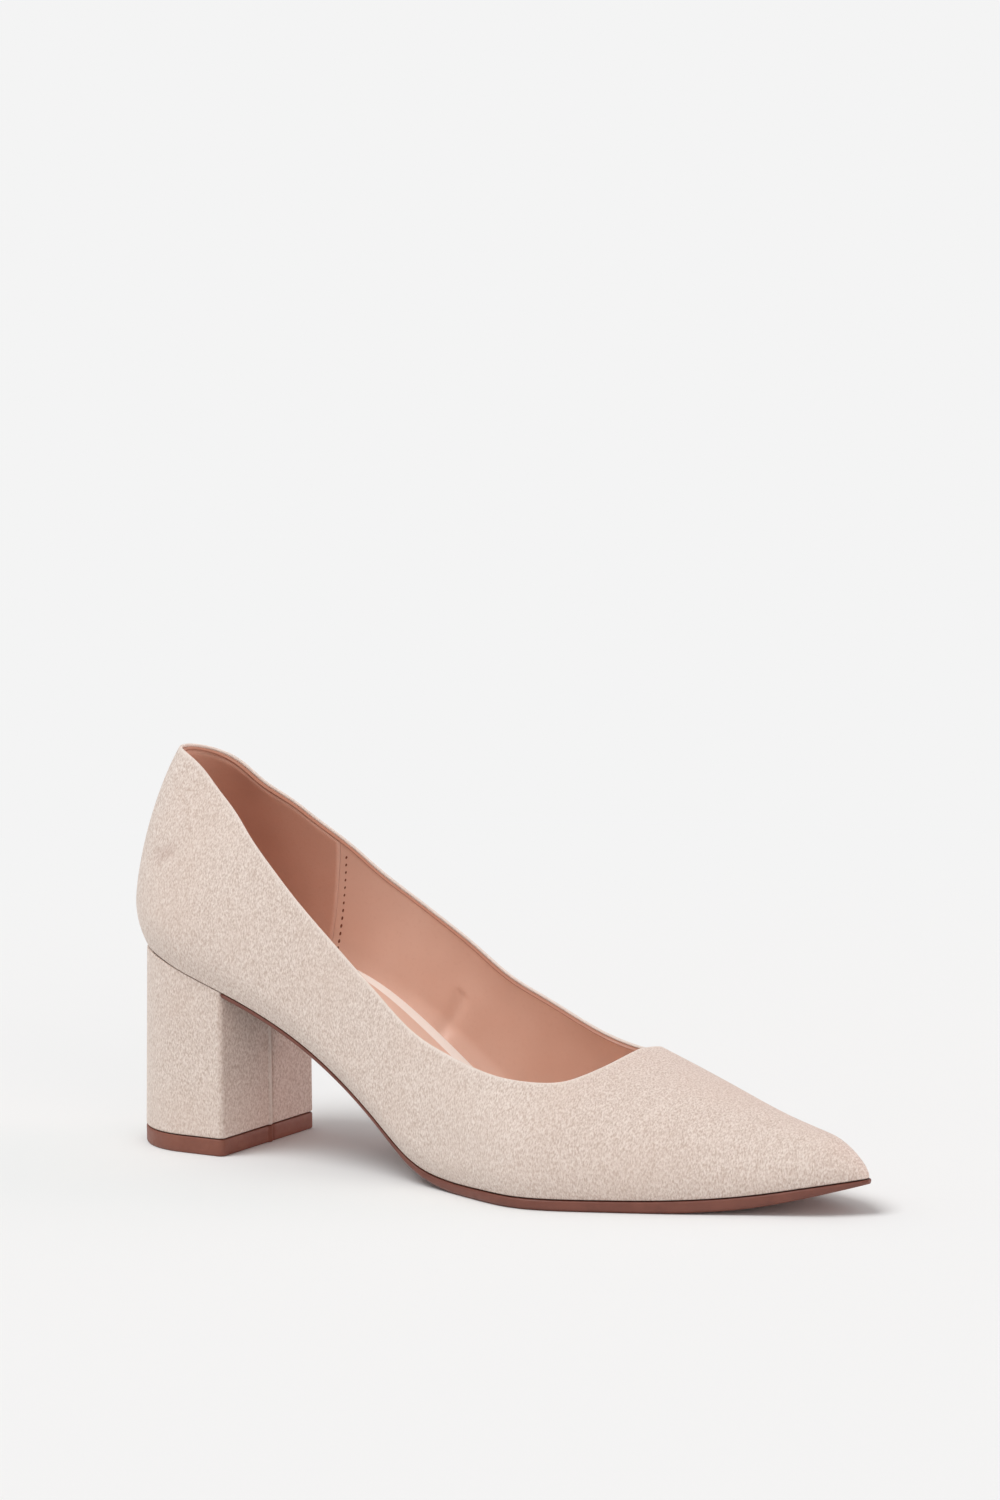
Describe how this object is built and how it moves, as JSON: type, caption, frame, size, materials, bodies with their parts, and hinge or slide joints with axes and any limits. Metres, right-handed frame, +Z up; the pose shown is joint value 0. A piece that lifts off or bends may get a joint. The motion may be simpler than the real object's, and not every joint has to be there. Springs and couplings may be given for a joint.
{
  "type": "block heel pump",
  "caption": "Closed pointed slip-on dress shoe with a low-cut throat, a covered square-breasted block heel and a thin sole; it stands by itself on heel tip and forepart.",
  "frame": {"origin": "centre of the whole shoe's plan box, on the floor that it stands on", "axes": "+X from heel to toe, +Y towards the inner side of this right shoe, +Z up from the floor"},
  "size_m": [0.2396, 0.081, 0.118],
  "materials": {
    "upper_cloth": "matt fine-grained microsuede cloth",
    "sole_rubber": "satin moulded, reddish brown",
    "insole_board": "matt cream covering",
    "lining": "smooth satin, pinkish nude"
  },
  "bodies": {
    "root": {"upper": "upper_cloth", "heel": "upper_cloth", "outsole": "sole_rubber", "top_piece": "sole_rubber", "insole": "insole_board", "sock": "lining"}
  },
  "joints": []
}
